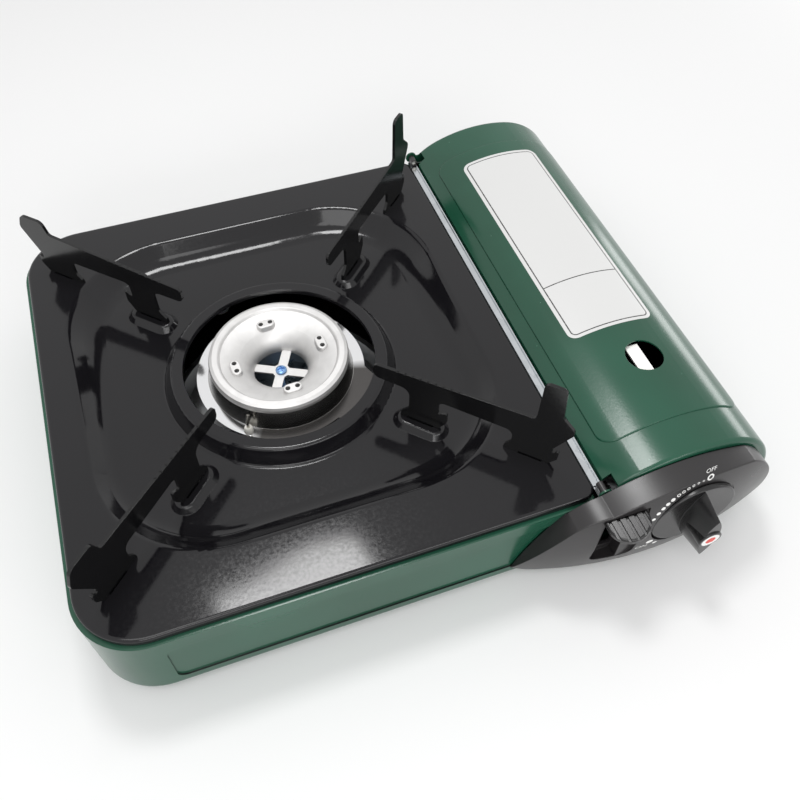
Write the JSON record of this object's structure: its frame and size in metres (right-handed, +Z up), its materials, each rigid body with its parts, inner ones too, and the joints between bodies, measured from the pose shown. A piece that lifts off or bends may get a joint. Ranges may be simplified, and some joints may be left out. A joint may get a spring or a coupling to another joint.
{
  "type": "butane cassette stove",
  "caption": "Portable table stove: a pressed steel body with one gas burner, pan supports on a dished enamelled plate, and a hinged cover over a bay for a gas cartridge.",
  "frame": {"origin": "on the ground below the middle of the whole stove's outline", "axes": "+X towards the cartridge bay, -Y towards the front with the knob, +Z up"},
  "size_m": [0.3434, 0.2984, 0.1165],
  "materials": {
    "green_paint": "gloss enamel paint on pressed steel",
    "black_enamel": "fired gloss enamel on pressed steel",
    "support_enamel": "semi-gloss enamel on cut steel sheet",
    "black_moulding": "moulded, fine satin grain",
    "knob_moulding": "moulded, satin",
    "galvanised_sheet": "zinc coated, satin",
    "bright_steel": "nickel plated",
    "bare_steel": "bare cold-rolled",
    "stainless": "polished stainless",
    "burner_head": "die cast, fine blasted",
    "aluminium_sheet": "rolled, satin",
    "cast_zinc": "die cast zinc, as cast",
    "brass": "turned",
    "rubber": "moulded, matte",
    "ceramic": "glazed white ceramic",
    "lead_insulation": "silicone insulated, satin"
  },
  "bodies": {
    "stove_body": {"body_tray": "green_paint", "divider_wall": "galvanised_sheet", "floor_rivets": "bright_steel", "hinge_blocks": "black_moulding", "hinge_pins": "bright_steel", "control_panel": "black_moulding", "valve_bracket": "galvanised_sheet", "regulator_body": "cast_zinc", "diaphragm_cover": "galvanised_sheet", "inlet_collar": "stainless", "inlet_nozzle": "brass", "gas_jet": "brass", "canister_guide": "bright_steel", "canister_cradle": "aluminium_sheet", "heat_strip": "aluminium_sheet", "burner_stand": "galvanised_sheet", "heat_shield": "aluminium_sheet", "burner_lower_shell": "bare_steel", "burner_upper_shell": "stainless", "mixing_tube": "bare_steel", "flame_ring": "stainless", "burner_cap": "burner_head", "burner_screw": "bright_steel", "electrode_insulator": "ceramic", "electrode_wire": "bright_steel", "ignition_lead": "lead_insulation", "piezo_igniter": "black_moulding", "foot_front_left": "rubber", "foot_front_right": "rubber", "foot_back_right": "rubber", "foot_back_left": "rubber"},
    "cover": {"canister_cover": "green_paint"},
    "hob": {"hob_plate": "black_enamel", "pan_support_front_left": "support_enamel", "pan_support_front_right": "support_enamel", "pan_support_back_right": "support_enamel", "pan_support_back_left": "support_enamel"},
    "control_knob": {"knob": "knob_moulding", "valve_spindle": "bright_steel"},
    "lever": {"lock_lever": "black_moulding"},
    "carriage": {"canister_carriage": "galvanised_sheet"}
  },
  "joints": [
    {"name": "cover_hinge", "type": "hinge", "parent": "stove_body", "child": "cover", "pos_m": [0.07313, 0, 0.0607], "axis": [0, -1, 0], "range_deg": [0, 64]},
    {"name": "hob_lift", "type": "slide", "parent": "stove_body", "child": "hob", "axis": [0, 0, 1], "range_m": [0, 0.06]},
    {"name": "knob_turn", "type": "hinge", "parent": "stove_body", "child": "control_knob", "pos_m": [0.11483, -0.1252, 0.0464], "axis": [0, -1, 0], "range_deg": [0, 130]},
    {"name": "lever_slide", "type": "slide", "parent": "stove_body", "child": "lever", "axis": [0, 0, -1], "range_m": [0, 0.028]},
    {"name": "carriage_slide", "type": "slide", "parent": "stove_body", "child": "carriage", "axis": [0, -1, 0], "range_m": [0, 0.005]}
  ],
  "couplings": [
    {"joint": "carriage_slide", "follows": "lever_slide", "ratio": 0.17857}
  ]
}
